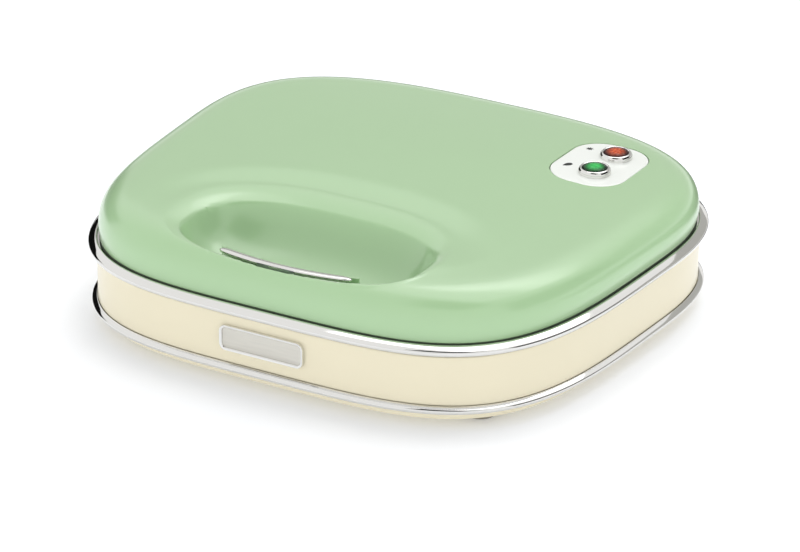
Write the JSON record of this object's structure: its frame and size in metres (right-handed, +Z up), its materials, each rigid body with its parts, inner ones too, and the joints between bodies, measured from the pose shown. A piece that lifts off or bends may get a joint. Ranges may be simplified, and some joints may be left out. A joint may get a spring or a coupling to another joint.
{
  "type": "sandwich toaster",
  "caption": "Low domed sandwich toaster: a cream base with feet and a pocketed plate, and a rear-hinged green lid with a finger recess, a sprung latch bar and pilot lamps.",
  "frame": {"origin": "on the table, under the middle of the outer box", "axes": "+X to the right seen from the front, +Y to the back, where the hinge is, +Z up; the front with the badge faces -Y"},
  "size_m": [0.2636, 0.2576, 0.0672],
  "materials": {
    "cream_plastic": "glossy moulded cream plastic",
    "green_plastic": "high-gloss pastel green plastic",
    "chrome": "polished bright plating",
    "satin_steel": "satin steel",
    "screw_steel": "zinc-plated steel",
    "nonstick": "die-cast aluminium with a dark non-stick coat",
    "heater_sheath": "dull heat-tinted steel sheath",
    "shield_steel": "aluminised steel sheet",
    "white_plastic": "glossy white plastic",
    "red_lens": "translucent red plastic",
    "green_lens": "translucent green plastic",
    "black_plastic": "matt black moulding",
    "white_ceramic": "unglazed white ceramic",
    "rubber": "matt black rubber"
  },
  "bodies": {
    "base": {"base_pan": "cream_plastic", "lower_trim_ring": "chrome", "base_housing": "cream_plastic", "badge_frame": "chrome", "badge_panel": "satin_steel", "feet": "rubber", "base_screws": "screw_steel", "lower_plate": "nonstick", "lower_plate_screws": "screw_steel", "lower_heating_element": "heater_sheath", "lower_heat_shield": "shield_steel", "thermal_fuse": "white_ceramic", "terminal_block": "white_ceramic", "latch_keeper": "satin_steel", "rear_housing": "cream_plastic", "rear_housing_screws": "screw_steel", "cord_gland": "black_plastic", "hinge_pins": "satin_steel"},
    "lid": {"lid_shell": "green_plastic", "upper_trim_ring": "chrome", "lid_liner": "cream_plastic", "lid_screws": "screw_steel", "upper_plate": "nonstick", "upper_plate_screws": "screw_steel", "upper_heating_element": "heater_sheath", "upper_heat_shield": "shield_steel", "thermostat": "black_plastic", "lamp_panel": "white_plastic", "lamp_bezels": "chrome", "red_lens": "red_lens", "green_lens": "green_lens", "lamp_holders": "black_plastic", "latch_pin": "satin_steel", "latch_spring": "satin_steel"},
    "latch": {"latch_lever": "chrome"}
  },
  "joints": [
    {"name": "lid_hinge", "type": "hinge", "parent": "base", "child": "lid", "pos_m": [0, 0.11825, 0.03495], "axis": [-1, 0, 0], "range_deg": [0, 100]},
    {"name": "latch", "type": "hinge", "parent": "lid", "child": "latch", "pos_m": [0, -0.1142, 0.0455], "axis": [1, 0, 0], "range_deg": [0, 7], "stiffness_Nm_per_rad": 0.05, "springref_deg": -17.19}
  ]
}
